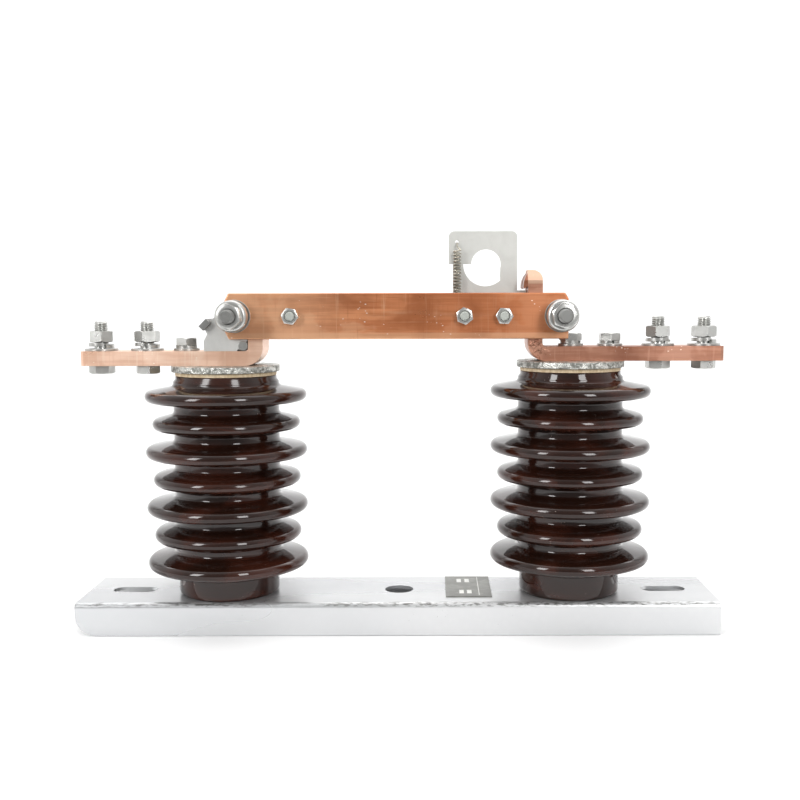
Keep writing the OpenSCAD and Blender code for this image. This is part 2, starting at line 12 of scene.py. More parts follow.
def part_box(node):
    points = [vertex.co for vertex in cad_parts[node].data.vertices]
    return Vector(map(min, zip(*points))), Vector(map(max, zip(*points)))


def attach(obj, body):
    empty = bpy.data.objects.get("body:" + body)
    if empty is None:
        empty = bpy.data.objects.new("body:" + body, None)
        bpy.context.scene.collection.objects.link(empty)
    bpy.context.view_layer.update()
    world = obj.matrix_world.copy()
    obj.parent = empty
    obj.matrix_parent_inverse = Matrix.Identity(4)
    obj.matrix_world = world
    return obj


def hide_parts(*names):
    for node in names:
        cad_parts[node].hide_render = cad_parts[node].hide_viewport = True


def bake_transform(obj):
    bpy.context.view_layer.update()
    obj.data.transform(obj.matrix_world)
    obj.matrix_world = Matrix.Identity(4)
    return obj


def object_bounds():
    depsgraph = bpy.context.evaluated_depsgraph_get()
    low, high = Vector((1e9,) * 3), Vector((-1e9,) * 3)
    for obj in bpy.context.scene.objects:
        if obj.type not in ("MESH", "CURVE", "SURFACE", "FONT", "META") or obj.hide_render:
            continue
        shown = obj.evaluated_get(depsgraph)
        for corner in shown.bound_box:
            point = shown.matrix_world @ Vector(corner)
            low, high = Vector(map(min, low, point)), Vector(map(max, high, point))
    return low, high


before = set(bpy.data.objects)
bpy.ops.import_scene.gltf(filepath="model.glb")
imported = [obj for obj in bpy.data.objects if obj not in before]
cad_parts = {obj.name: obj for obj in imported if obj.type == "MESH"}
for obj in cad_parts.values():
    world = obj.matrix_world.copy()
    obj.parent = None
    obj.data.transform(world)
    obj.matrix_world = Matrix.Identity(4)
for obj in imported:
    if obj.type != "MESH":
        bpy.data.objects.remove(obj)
cad_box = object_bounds()

MM = 0.001


def mm(*values):
    return tuple(v * MM for v in values)


def centre(node):
    low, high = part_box(node)
    return (Vector(low) + Vector(high)) / 2


def low(node):
    return Vector(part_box(node)[0])


def high(node):
    return Vector(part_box(node)[1])


# ---------------------------------------------------------------- shared sizes

# Thread pitch and width across flats of each bolt, by its diameter in millimetres
PITCH = {12: 1.75 * MM, 10: 1.5 * MM, 8: 1.25 * MM}
HEX = {12: 19 * MM, 10: 17 * MM, 8: 13 * MM}

LARGE_HEAD_H = 7.4 * MM
LARGE_WASHER_R = 14 * MM
CAP_WASHER_R = 11 * MM
WASHER_T = 2 * MM
BAR_T = 12.5 * MM
BRACKET_T = 3 * MM
LINE_BOLT_PITCH = 40 * MM
CAP_BOLT_PITCH = 34 * MM

# By side: -1 is the hinge post's, 1 the contact post's
LINE_BOLT_X = {-1: low("line_washers").x + LARGE_WASHER_R,
               1: high("line_washers").x - LARGE_WASHER_R}
BAR_TOP = {-1: high("cap_plate_left").z + BAR_T, 1: high("cap_plate_right").z + BAR_T}


# ---------------------------------------------------------------- materials


class Nodes:
    """A material's node tree, with short calls for the nodes this scene uses."""

    def __init__(self, name, roughness, metallic=0.0, **sockets):
        self.material = bpy.data.materials.new(name)
        self.material.use_nodes = True
        self.tree = self.material.node_tree
        self.shader = self.tree.nodes["Principled BSDF"]
        self.set(self.shader, Roughness=roughness, Metallic=metallic, **sockets)
        self.place = self.tree.nodes.new("ShaderNodeTexCoord").outputs["Object"]

    def set(self, node, **sockets):
        for name, value in sockets.items():
            node.inputs[name.replace("_", " ")].default_value = value

    def link(self, source, target):
        self.tree.links.new(source, target)

    def stretched(self, scale):
        node = self.tree.nodes.new("ShaderNodeMapping")
        node.inputs["Scale"].default_value = scale
        self.link(self.place, node.inputs["Vector"])
        return node.outputs["Vector"]

    def noise(self, scale, stretch=(1, 1, 1), detail=4.0, roughness=0.55, distortion=0.0):
        node = self.tree.nodes.new("ShaderNodeTexNoise")
        self.set(node, Scale=scale, Detail=detail, Roughness=roughness, Distortion=distortion)
        self.link(self.stretched(stretch), node.inputs["Vector"])
        return node.outputs["Fac"]

    def cells(self, scale, stretch=(1, 1, 1)):
        node = self.tree.nodes.new("ShaderNodeTexVoronoi")
        self.set(node, Scale=scale)
        self.link(self.stretched(stretch), node.inputs["Vector"])
        return node.outputs["Distance"]

    def ramp(self, source, start, end, low=0.0, high=1.0):
        node = self.tree.nodes.new("ShaderNodeMapRange")
        node.interpolation_type = "SMOOTHSTEP"
        for i, value in enumerate((start, end, low, high)):
            node.inputs[i + 1].default_value = value
        self.link(source, node.inputs[0])
        return node.outputs[0]

    def math(self, kind, a, b):
        node = self.tree.nodes.new("ShaderNodeMath")
        node.operation = kind
        for socket, value in zip(node.inputs, (a, b)):
            if isinstance(value, (int, float)):
                socket.default_value = value
            else:
                self.link(value, socket)
        return node.outputs[0]

    def mix(self, fac, a, b):
        node = self.tree.nodes.new("ShaderNodeMix")
        node.data_type = "RGBA"
        for socket, value in zip((node.inputs[0], node.inputs[6], node.inputs[7]), (fac, a, b)):
            if isinstance(value, tuple):
                socket.default_value = (*value, 1)
            else:
                self.link(value, socket)
        return node.outputs[2]

    def near(self, point, reach):
        """1 at a point of the frame, falling to 0 at reach."""
        node = self.tree.nodes.new("ShaderNodeVectorMath")
        node.operation = "DISTANCE"
        node.inputs[1].default_value = point
        self.link(self.place, node.inputs[0])
        return self.ramp(node.outputs["Value"], reach * 0.4, reach, 1, 0)

    def axis(self, i):
        node = self.tree.nodes.new("ShaderNodeSeparateXYZ")
        self.link(self.place, node.inputs[0])
        return node.outputs[i]

    def finish(self, colour, roughness=None, height=None, depth=0.0002):
        self.link(colour, self.shader.inputs["Base Color"])
        if roughness is not None:
            self.link(roughness, self.shader.inputs["Roughness"])
        if height is not None:
            bump = self.tree.nodes.new("ShaderNodeBump")
            self.set(bump, Strength=0.6, Distance=depth)
            self.link(height, bump.inputs["Height"])
            self.link(bump.outputs["Normal"], self.shader.inputs["Normal"])
        return self.material


def copper(name, base, dark, pale, dents=None, painted_highlight_below=None, tongue=None,
           painted_light_x=None, metallic=0.72):
    """Drawn bar: faint streaks along it, tarnished patches, fine scratches and a few pale nicks,
    plus optional painted highlights and painted shade.
    """
    n = Nodes(name, 0.34, metallic)
    streaks = n.noise(42, (0.45, 6, 11), 6, distortion=0.2)
    bands = n.noise(26, (0.30, 1, 4.5), 5)
    patches = n.noise(11, (1.6, 1, 2.2), 4, distortion=0.3)
    smears = n.noise(70, (1.2, 1, 0.35), 4)
    scratches = n.noise(900, (0.04, 1, 1.6), 3)
    across = n.noise(380, (1.1, 1, 0.05), 3)
    colour = n.mix(n.ramp(streaks, 0.36, 0.60, 0.50, 1), dark, base)
    colour = n.mix(n.ramp(bands, 0.50, 0.36, 0, 0.55), colour, dark)
    colour = n.mix(n.ramp(bands, 0.56, 0.70, 0, 0.45), colour, pale)
    colour = n.mix(n.ramp(patches, 0.52, 0.57, 0, 0.35), colour, pale)
    colour = n.mix(n.ramp(patches, 0.47, 0.36, 0, 0.75), colour, dark)
    colour = n.mix(n.ramp(smears, 0.60, 0.74, 0, 0.40), colour, dark)
    colour = n.mix(n.ramp(scratches, 0.6, 0.75, 0, 0.35), colour, pale)
    colour = n.mix(n.ramp(across, 0.60, 0.72, 0, 0.40), colour, pale)
    colour = n.mix(n.ramp(across, 0.40, 0.28, 0, 0.45), colour, dark)
    # Painted light along the bar: a painted highlight that fades out by the middle x, then painted
    # shade that grows towards the last x.
    if painted_light_x:
        colour = n.mix(n.ramp(n.axis(0), painted_light_x[0], painted_light_x[1], 0.45, 0), colour, pale)
        colour = n.mix(n.ramp(n.axis(0), painted_light_x[1], painted_light_x[2], 0, 0.60), colour, dark)
    if tongue:
        # Painted light on the tongue: a painted highlight over its top from x on, and painted shade
        # down its side short of x.
        x, z = tongue
        top = n.ramp(n.axis(2), z, z + 0.0025, 0, 0.5)
        front = n.ramp(n.axis(0), x - 0.0004, x, 0, 1)
        colour = n.mix(n.math("MULTIPLY", top, front), colour, (0.86, 0.62, 0.45))
        painted_shade_side = n.math("MULTIPLY", n.ramp(n.axis(2), z - 0.006, z - 0.005, 0, 0.75),
                     n.math("SUBTRACT", 1.0, front))
        colour = n.mix(painted_shade_side, colour, (0.26, 0.095, 0.050))
    # Painted highlight: a pale band along the bar's lower edge, below the given height.
    if painted_highlight_below:
        colour = n.mix(n.ramp(n.axis(2), painted_highlight_below, painted_highlight_below + 0.0012, 0.45, 0), colour, pale)
    nicks = n.math("MULTIPLY", n.ramp(n.cells(420, (0.5, 1, 1.1)), 0.13, 0.19, 1, 0),
                   n.ramp(n.noise(60), 0.55, 0.60))
    colour = n.mix(nicks, colour, (1.0, 0.88, 0.76))
    height = n.math("ADD", n.math("MULTIPLY", scratches, 0.25), n.math("MULTIPLY", smears, 0.4))
    if dents:
        pits = n.math("MULTIPLY", n.near(*dents), n.ramp(n.noise(260, detail=2), 0.42, 0.6, 0, 6))
        height = n.math("SUBTRACT", height, pits)
        colour = n.mix(n.math("MULTIPLY", n.near(*dents), n.ramp(n.noise(300), 0.5, 0.62, 0, 0.7)),
                       colour, (0.16, 0.07, 0.04))
    return n.finish(colour, n.ramp(patches, 0.3, 0.7, 0.27, 0.42), height, 0.00012)


def porcelain():
    """Dark brown glaze, redder where it is thin, with a few pinholes."""
    n = Nodes("porcelain", 0.10, 0.0, Coat_Weight=0.15, Coat_Roughness=0.04, IOR=1.45)
    tint = n.noise(18, (1, 1, 2.5), 5, distortion=0.5)
    colour = n.mix(n.ramp(tint, 0.40, 0.66), (0.016, 0.0062, 0.0040), (0.042, 0.0120, 0.0070))
    pinholes = n.math("MULTIPLY", n.ramp(n.cells(330), 0.07, 0.11, 1, 0),
                      n.ramp(n.noise(40), 0.60, 0.66))
    colour = n.mix(pinholes, colour, (0.42, 0.34, 0.30))
    rough = n.ramp(n.noise(30), 0.35, 0.7, 0.06, 0.16)
    height = n.math("ADD", n.noise(26, (1, 1, 1.5), 2), n.math("MULTIPLY", pinholes, 0.4))
    return n.finish(colour, rough, height, 0.0006)


def galvanised():
    """Bright zinc on sheet: soft clouds, faint spangle, specks, and a rubbed line along the bend."""
    n = Nodes("galvanised", 0.3, 0.62)
    cloud = n.noise(7, (0.6, 2, 1), 2)
    spangle = n.cells(160)
    colour = n.mix(n.ramp(cloud, 0.35, 0.7), (0.59, 0.60, 0.61), (0.68, 0.685, 0.69))
    colour = n.mix(n.ramp(spangle, 0.1, 0.7, 0, 0.08), colour, (0.55, 0.56, 0.57))
    bend = n.math("MULTIPLY", n.ramp(n.axis(1), -0.0435, -0.0385, 1, 0),
                  n.ramp(n.axis(2), 0.0235, 0.0265, 0, 1))
    worn = n.ramp(n.noise(700, (0.25, 1, 1), 6), 0.46, 0.60, 0.15, 0.9)
    worn = n.math("MULTIPLY", worn, n.ramp(n.noise(14), 0.40, 0.56, 0.25, 1))
    colour = n.mix(n.math("MULTIPLY", bend, worn), colour, (0.16, 0.16, 0.15))
    specks = n.math("MULTIPLY", n.ramp(n.cells(480), 0.08, 0.13, 1, 0),
                    n.ramp(n.noise(30), 0.62, 0.66))
    colour = n.mix(specks, colour, (0.16, 0.15, 0.14))
    height = n.math("MULTIPLY", spangle, 0.5)
    return n.finish(colour, n.ramp(cloud, 0.3, 0.7, 0.22, 0.34), height, 0.00004)


def rough_metal():
    """The cap plates: coarse mottled zinc with bright chips and dark pits."""
    n = Nodes("rough_metal", 0.35, 0.8)
    grain = n.noise(420, (1, 1, 0.8), 6, 0.7)
    patches = n.noise(120, (1, 1, 1.5), 5, 0.65, 1.5)
    colour = n.mix(n.ramp(patches, 0.42, 0.62), (0.20, 0.20, 0.18), (0.62, 0.62, 0.58))
    colour = n.mix(n.ramp(grain, 0.56, 0.66, 0, 0.9), colour, (0.88, 0.88, 0.84))
    colour = n.mix(n.ramp(n.noise(260, detail=6), 0.60, 0.70, 0, 0.8), colour, (0.07, 0.07, 0.06))
    height = n.math("ADD", grain, n.math("MULTIPLY", patches, 2.0))
    return n.finish(colour, n.ramp(patches, 0.4, 0.65, 0.5, 0.2), height, 0.0007)


def gasket_board():
    n = Nodes("gasket_board", 0.8)
    fibre = n.noise(500, (1, 1, 0.4), 5)
    patch = n.noise(60, (1, 1, 1), 4)
    colour = n.mix(n.ramp(fibre, 0.35, 0.7), (0.58, 0.44, 0.27), (0.78, 0.64, 0.45))
    colour = n.mix(n.ramp(patch, 0.60, 0.72, 0, 0.7), colour, (0.24, 0.14, 0.07))
    return n.finish(colour, height=fibre, depth=0.0003)


def steel(name, base, dark, roughness, metallic=0.9, grain=(1, 1, 1)):
    """Plated or bare steel: cloudy plating, faint tool marks and a few darker stains."""
    n = Nodes(name, roughness, metallic)
    cloud = n.noise(60, (1, 1, 1), 4, distortion=0.4)
    marks = n.noise(1500, grain, 3)
    colour = n.mix(n.ramp(cloud, 0.30, 0.62), dark, base)
    colour = n.mix(n.ramp(n.noise(340, detail=5), 0.66, 0.78, 0, 0.35), colour, dark)
    rough = n.ramp(cloud, 0.3, 0.7, roughness + 0.06, roughness - 0.04)
    return n.finish(colour, rough, marks, 0.00003)


def plate_paint():
    n = Nodes("plate_paint", 0.42, 0.5)
    cloud = n.noise(90, (1, 1, 1), 5)
    scuffs = n.noise(500, (0.2, 1, 1), 4)
    colour = n.mix(n.ramp(cloud, 0.35, 0.7), (0.20, 0.20, 0.185), (0.27, 0.27, 0.25))
    colour = n.mix(n.ramp(scuffs, 0.62, 0.74, 0, 0.5), colour, (0.48, 0.48, 0.45))
    return n.finish(colour, height=scuffs, depth=0.00005)


def studio_paint():
    n = Nodes("studio_paint", 0.9)
    return n.finish(n.mix(n.noise(0.7), (0.92, 0.92, 0.92), (0.94, 0.94, 0.94)))


# The blade's painted light: a painted highlight at its hinge end, painted shade towards its contact
# end and a painted highlight along its lower edge.
BLADE_COPPER = copper("blade_copper", (0.77, 0.315, 0.145), (0.47, 0.150, 0.058),
                      (0.80, 0.47, 0.28), painted_highlight_below=0.2552,
                      painted_light_x=mm(-100, -20, 60))
HINGE_COPPER = copper("hinge_copper", (0.92, 0.63, 0.48), (0.76, 0.46, 0.32), (0.96, 0.75, 0.60),
                      metallic=0.5)
# The contact terminal's tongue gets a painted highlight and painted shade.
CONTACT_COPPER = copper("contact_copper", (0.45, 0.215, 0.140), (0.31, 0.125, 0.075),
                        (0.62, 0.35, 0.25), dents=(mm(118, -17, 246), 0.016),
                        tongue=mm(111.5, 296))
PORCELAIN = porcelain()
GALVANISED = galvanised()
CAP_METAL = rough_metal()
GASKET = gasket_board()
PLATED = steel("plated", (0.56, 0.56, 0.54), (0.42, 0.42, 0.40), 0.30)
SHEET = steel("sheet_steel", (0.66, 0.66, 0.64), (0.58, 0.58, 0.56), 0.40, 0.5, (0.1, 1, 1))
DARK_STEEL = steel("dark_steel", (0.26, 0.26, 0.25), (0.17, 0.17, 0.16), 0.40, 0.7)
WIRE = steel("spring_wire", (0.46, 0.43, 0.36), (0.26, 0.24, 0.20), 0.32)
RING_STEEL = steel("ring_steel", (0.60, 0.60, 0.57), (0.54, 0.54, 0.51), 0.45, 0.35)
PLATE_PAINT = plate_paint()
PALE_METAL = steel("pale_metal", (0.78, 0.78, 0.75), (0.68, 0.68, 0.66), 0.45, 0.3)
TIE_METAL = steel("tie_metal", (0.48, 0.50, 0.46), (0.38, 0.40, 0.37), 0.42, 0.5)
STUDIO = studio_paint()


# ---------------------------------------------------------------- mesh helpers


def piece(name, vertices, faces, material, smooth=True, sharp=35):
    mesh = bpy.data.meshes.new(name)
    mesh.from_pydata([tuple(v) for v in vertices], [], faces)
    mesh.validate()
    work = bmesh.new()
    work.from_mesh(mesh)
    bmesh.ops.recalc_face_normals(work, faces=work.faces)
    work.to_mesh(mesh)
    work.free()
    mesh.materials.append(material)
    obj = bpy.data.objects.new(name, mesh)
    bpy.context.scene.collection.objects.link(obj)
    if smooth:
        mesh.shade_smooth()
        mesh.set_sharp_from_angle(angle=radians(sharp))
    return obj


def joined(name, parts):
    """One mesh out of several."""
    bpy.ops.object.select_all(action="DESELECT")
    for part in parts:
        part.select_set(True)
    bpy.context.view_layer.objects.active = parts[0]
    if len(parts) > 1:
        bpy.ops.object.join()
    parts[0].name = name
    return parts[0]


def turned(profile, steps=96):
    """Vertices and faces of a profile of (radius, height) points turned about +Z and closed."""
    vertices, faces = [], []
    n = len(profile)
    for i in range(steps):
        a = 2 * pi * i / steps
        vertices += [(r * cos(a), r * sin(a), z) for r, z in profile]
    for i in range(steps):
        j = (i + 1) % steps
        for k in range(n):
            m = (k + 1) % n
            faces.append((i * n + k, j * n + k, j * n + m, i * n + m))
    return vertices, faces


def skin(rows, closed_rows=False):
    """Vertices and faces of a surface through equal rings of points, capped unless it closes."""
    n = len(rows[0])
    vertices = [v for row in rows for v in row]
    faces = []
    count = len(rows) if closed_rows else len(rows) - 1
    for i in range(count):
        j = (i + 1) % len(rows)
        faces += [(i * n + k, i * n + (k + 1) % n, j * n + (k + 1) % n, j * n + k)
                  for k in range(n)]
    if not closed_rows:
        faces += [tuple(range(n)), tuple((len(rows) - 1) * n + k for k in range(n))]
    return vertices, faces


def arc(cx, cz, r, start, end, steps):
    """Points on an arc, angles in degrees."""
    return [(cx + r * cos(radians(start + (end - start) * i / steps)),
             cz + r * sin(radians(start + (end - start) * i / steps))) for i in range(steps + 1)]


def place(obj, at, facing_front=False, turn=0.0, flip=False):
    """Moves a piece built about +Z to its place; facing_front turns its +Z to -Y."""
    obj.rotation_mode = "QUATERNION"
    spin = Vector((0, 0, 1)).rotation_difference(
        Vector((0, -1, 0)) if facing_front else Vector((0, 0, -1 if flip else 1)))
    obj.rotation_quaternion = spin @ Quaternion((0, 0, 1), radians(turn))
    obj.location = at
    bpy.context.view_layer.update()
    obj.data.transform(obj.matrix_world)
    obj.matrix_world.identity()
    return obj


# ---------------------------------------------------------------- fasteners


def threaded(length, d, pitch, start):
    """A rod along +Z from 0 to length with a helical thread from start and a turned-off tip."""
    around, per_turn = 40, 8
    depth, tip = 0.6 * pitch, 0.12 * d
    rows = [[(d / 2 * cos(2 * pi * k / around), d / 2 * sin(2 * pi * k / around), 0)
             for k in range(around)]]
    count = int((length - start) / pitch * per_turn)
    for i in range(count + 1):
        z = start + (length - start) * i / count
        row = []
        for k in range(around):
            a = 2 * pi * k / around
            phase = (z / pitch - k / around) % 1
            r = d / 2 - depth * (1 - abs(2 * phase - 1)) * min(1, (z - start) / pitch)
            r = min(r, d / 2 - tip + (length - z))
            row.append((r * cos(a), r * sin(a), z))
        rows.append(row)
    return skin(rows)


def hexagon(af, h, bore=0.0, bevel_low=True, bevel_high=True):
    """A six-sided block along +Z whose corners are turned off at 30 degrees."""
    around = 96
    turned_r = af / 2 * 0.96
    mouth, chamfer = bore * 1.12, bore * 0.12
    no_fall = 0.01 * MM
    rows = []
    for k in range(around):
        a = 2 * pi * k / around
        r = af / 2 / cos((a + pi / 6) % (pi / 3) - pi / 6)
        fall = max(0, (r - turned_r) * tan(radians(30)))
        rows.append([
            (bore * cos(a), bore * sin(a), chamfer),
            (mouth * cos(a), mouth * sin(a), 0),
            (turned_r * cos(a), turned_r * sin(a), 0),
            (r * cos(a), r * sin(a), fall if bevel_low else no_fall),
            (r * cos(a), r * sin(a), h - (fall if bevel_high else no_fall)),
            (turned_r * cos(a), turned_r * sin(a), h),
            (mouth * cos(a), mouth * sin(a), h),
            (bore * cos(a), bore * sin(a), h - chamfer)])
    return skin(rows, closed_rows=True)


def washer(outer, inner, t):
    """A flat ring with its outer edges broken."""
    e = 0.12 * t
    return turned([(inner, 0), (outer - e, 0), (outer, e), (outer, t - e), (outer - e, t),
                   (inner, t)], 72)


def split_washer(outer, inner, t, rise):
    """One open turn of square section that climbs by rise."""
    gap, steps = 14, 72
    rows = []
    for i in range(steps + 1):
        a = radians(gap / 2 + (360 - gap) * i / steps)
        z = rise * i / steps
        section = ((inner, z), (outer, z), (outer, z + t), (inner, z + t))
        rows.append([(r * cos(a), r * sin(a), height) for r, height in section])
    return skin(rows)


def wire(points, r, around=10):
    """A round wire through points."""
    rows = []
    side = Vector((0.31, 0.12, 0.94))
    for i, p in enumerate(points):
        before, after = points[max(i - 1, 0)], points[min(i + 1, len(points) - 1)]
        along = (after - before).normalized()
        side = (side - along * side.dot(along)).normalized()
        other = along.cross(side)
        rows.append([p + r * (side * cos(2 * pi * k / around) + other * sin(2 * pi * k / around))
                     for k in range(around)])
    return skin(rows)


def coil(r, z0, z1, turns):
    """Points of a helix about +Z."""
    steps = 28
    count = int(turns * steps)
    return [Vector((r * cos(2 * pi * i / steps), r * sin(2 * pi * i / steps),
                    z0 + (z1 - z0) * i / count)) for i in range(count + 1)]


def body_piece(obj, body, slot, *nodes):
    """Puts a piece on its body in place of the CAD nodes it stands for; its slot is not used."""
    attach(obj, body)
    if nodes:
        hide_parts(*nodes)
    return obj


def bolt_parts(name, d, length, af, head_h, pitch, thread_from, material, at, **where):
    """A bolt along +Z, its head under z = 0, as a head and a shank."""
    head = piece(name + "_head", *hexagon(af, head_h, bevel_high=False), material)
    head.data.transform(Matrix.Translation((0, 0, -head_h)))
    shank = piece(name + "_shank", *threaded(length, d, pitch, thread_from), material)
    return [place(head, at, **where), place(shank, at, **where)]


def line_fasteners():
    """Bolt, washer, sprung ring and nut at both holes of both terminals."""
    parts = {"line_bolts": [], "line_nuts": [], "line_washers": [], "line_spring_washers": []}
    turns = [17, -8, 4, 38]
    past_bar, nut_h, bare, nut_rise = mm(25.4, 9.8, 6, 7.5)
    for i, (side, k) in enumerate((s, k) for s in (-1, 1) for k in (0, 1)):
        at = Vector((LINE_BOLT_X[side] - side * k * LINE_BOLT_PITCH, 0, BAR_TOP[side]))
        ring_at = at + Vector((0, 0, WASHER_T))
        nut_at = at + Vector((0, 0, nut_rise))
        parts["line_bolts"] += bolt_parts(
            "line_bolt", 12 * MM, BAR_T + past_bar, HEX[12], LARGE_HEAD_H, PITCH[12], BAR_T + bare,
            PLATED, at - Vector((0, 0, BAR_T)), turn=turns[i] + 30)
        parts["line_nuts"].append(place(
            piece("nut", *hexagon(HEX[12], nut_h, 6 * MM), PLATED), nut_at, turn=turns[i]))
        parts["line_washers"].append(place(
            piece("washer", *washer(LARGE_WASHER_R, 6.5 * MM, WASHER_T), PLATED), at))
        parts["line_spring_washers"].append(place(
            piece("ring", *split_washer(10.8 * MM, 6.7 * MM, 3 * MM, 2.4 * MM), PLATED), ring_at,
            turn=-75 + turns[i]))
    for node, made in parts.items():
        body_piece(joined(node + "_detailed", made), "frame", "plated_steel", node)


def cap_fasteners():
    """The bolts through both caps, seen as heads on a sprung ring and a washer."""
    parts = {"cap_bolts": [], "cap_washers": [], "cap_spring_washers": []}
    outer_x = high("cap_washers").x - CAP_WASHER_R
    head_h, head_rise, depth, bare = mm(6.4, 4.8, 34, 20)
    for i, (side, k) in enumerate((s, k) for s in (-1, 1) for k in (0, 1)):
        on_bracket = BRACKET_T if side < 0 and k else 0
        at = Vector((side * (outer_x - k * CAP_BOLT_PITCH), 0, BAR_TOP[side] + on_bracket))
        parts["cap_washers"].append(place(
            piece("washer", *washer(CAP_WASHER_R, 5.5 * MM, WASHER_T), PLATED), at))
        parts["cap_spring_washers"].append(place(
            piece("ring", *split_washer(9 * MM, 5.4 * MM, 2.5 * MM, 0.3 * MM), PLATED),
            at + Vector((0, 0, WASHER_T)), turn=200 + 40 * i))
        head_at = at + Vector((0, 0, head_rise))
        parts["cap_bolts"].append(place(
            piece("head", *hexagon(HEX[10], head_h, bevel_low=False), PLATED), head_at,
            turn=12 + 25 * i))
        shank = threaded(depth, 10 * MM, PITCH[10], bare)
        parts["cap_bolts"].append(place(piece("shank", *shank, PLATED), head_at, flip=True))
    for node, made in parts.items():
        body_piece(joined(node + "_detailed", made), "frame", "plated_steel", node)


def end_stack(name, turn):
    """Everything on one of the blades' end bolts: head, washers, spring, cup, nut, dark tip."""
    rear = high(name + "_bolt").y
    tip = low(name + "_bolt").y
    x, _, z = centre(name + "_nut")
    blade_t = 5 * MM
    face = high("blade_front").y - blade_t
    head_at = Vector((x, rear - LARGE_HEAD_H, z))
    bolt = bolt_parts(name, 12 * MM, head_at.y - tip, HEX[12], LARGE_HEAD_H, PITCH[12],
                      head_at.y - face + 20 * MM, DARK_STEEL, head_at, facing_front=True, turn=20)
    body_piece(joined(name + "_bolt_detailed", bolt), "blade", "plated_steel", name + "_bolt")
    rings = [place(piece("washer", *washer(LARGE_WASHER_R, 6.2 * MM, WASHER_T), PLATED),
                   Vector((x, y, z)), facing_front=True) for y in (face, head_at.y)]
    body_piece(joined(name + "_washers_detailed", rings), "blade", "plated_steel",
               name + "_washers")
    back, front = high(name + "_cup").y, low(name + "_cup").y
    depth = back - front
    wall, bend, r, bore, wire_r = mm(1.5, 3, 13.5, 6.3, 1.2)
    bowl = [(bore, depth - wall), (r - wall - bend, depth - wall)]
    bowl += arc(r - wall - bend, depth - wall - bend, bend, 90, 0, 6)
    bowl += [(r - wall, 0.3 * MM), (r - wall * 0.7, 0), (r - 0.3 * MM, 0), (r, 0.4 * MM)]
    bowl += arc(r - bend, depth - bend, bend, 0, 90, 8) + [(bore, depth)]
    cup = place(piece(name + "_cup_detailed", *turned(bowl), PLATED), Vector((x, back, z)),
                facing_front=True)
    body_piece(cup, "blade", "plated_steel", name + "_cup")
    spring_len = face - WASHER_T - front - wall
    turns = coil(8.7 * MM, wire_r, spring_len - wire_r, 4.2)
    spring = place(piece(name + "_spring_detailed", *wire(turns, wire_r, 12), WIRE),
                   Vector((x, face - WASHER_T, z)), facing_front=True)
    body_piece(spring, "blade", "dark_steel", name + "_spring")
    nut_h = high(name + "_nut").y - low(name + "_nut").y
    nut = place(piece(name + "_nut_detailed", *hexagon(HEX[12], nut_h, 6 * MM), PLATED),
                Vector((x, high(name + "_nut").y, z)), facing_front=True, turn=turn)
    body_piece(nut, "blade", "plated_steel", name + "_nut")


def tie_fasteners():
    """Three bolts that hold the blades together, heads behind and nuts in front."""
    rear, front = high("blade_rear").y, low("blade_front").y
    z = centre("tie_nuts").z
    half_nut = HEX[8] / 2
    last_pitch = 33.6 * MM
    first, last = low("tie_nuts").x + half_nut, high("tie_nuts").x - half_nut
    bolts, nuts = [], []
    for x, turn in ((first, 22), (last - last_pitch, 8), (last, 27)):
        at = Vector((x, rear, z))
        bolts += bolt_parts("tie", 8 * MM, rear - low("tie_bolts").y, HEX[8], 5.3 * MM, PITCH[8],
                            rear - front, TIE_METAL, at, facing_front=True, turn=turn)
        nuts.append(place(piece("nut", *hexagon(HEX[8], 6.5 * MM, 4 * MM), PLATED),
                          Vector((x, front, z)), facing_front=True, turn=turn))
    body_piece(joined("tie_bolts_detailed", bolts), "blade", "plated_steel", "tie_bolts")
    body_piece(joined("tie_nuts_detailed", nuts), "blade", "plated_steel", "tie_nuts")


# ---------------------------------------------------------------- porcelain


def touch(p, c, r, turn):
    """Where a line from p touches the circle about c, on the side that turn picks."""
    d = (p[0] - c[0], p[1] - c[1])
    a = atan2(d[1], d[0]) + turn * acos(r / hypot(*d))
    return c[0] + r * cos(a), c[1] + r * sin(a)


def shed_side(core, z, rim, rim_r, fillet, up):
    """Points from the core out along one face of a shed to its rim, with a fillet at the root."""
    face = touch((core, z), rim, rim_r, -up)
    slope = atan2((face[1] - z) * up, face[0] - core)
    cx, cz = core + fillet, z + up * fillet * (1 + sin(slope)) / cos(slope)
    return arc(cx, cz, fillet, 180 * up, (270 + degrees(slope)) * up, 8) + [face]


def insulator(name):
    """A post turned from one outline: foot, seven sheds alternately wide and narrow, and a neck."""
    bottom, top = low(name).z, high(name).z
    c = centre(name)
    core, neck, rim_r, fillet, foot_round = mm(45.5, 43.5, 5, 3.5, 3.5)
    wide, narrow, root_under, root_over, hole = mm(69.5, 63.5, 6.5, 8.5, 8)
    height, sheds = top - bottom, 7
    drop, pitch = mm(17.5, 24.15)
    outline = arc(neck - foot_round, foot_round, foot_round, -90, 0, 6)
    first = height - drop - (sheds - 1) * pitch
    outline += [(neck, first - 11 * MM - 0.6 * MM), (core, first - 10.6 * MM)]
    for i in range(sheds):
        z = first + i * pitch
        rim = ((narrow if i % 2 else wide) - rim_r, z)
        under = shed_side(core, z - root_under, rim, rim_r, fillet, -1)
        over = shed_side(core, z + root_over, rim, rim_r, fillet, 1)
        start, end = [degrees(atan2(side[-1][1] - rim[1], side[-1][0] - rim[0]))
                      for side in (under, over)]
        outline += under[:-1] + arc(*rim, rim_r, start, end, 14) + over[-2::-1]
    outline += [(core, height - 5.2 * MM), (neck, height - 2.6 * MM),
                (neck, height - 0.6 * MM), (neck - 0.6 * MM, height)]
    closed = [(hole, 0)] + outline + [(hole, height)]
    obj = piece(name + "_glazed", *turned(closed, 128), PORCELAIN, sharp=50)
    obj.data.transform(Matrix.Translation((c.x, c.y, bottom)))
    body_piece(obj, "frame", "porcelain", name)


# ---------------------------------------------------------------- blades, springs, plates


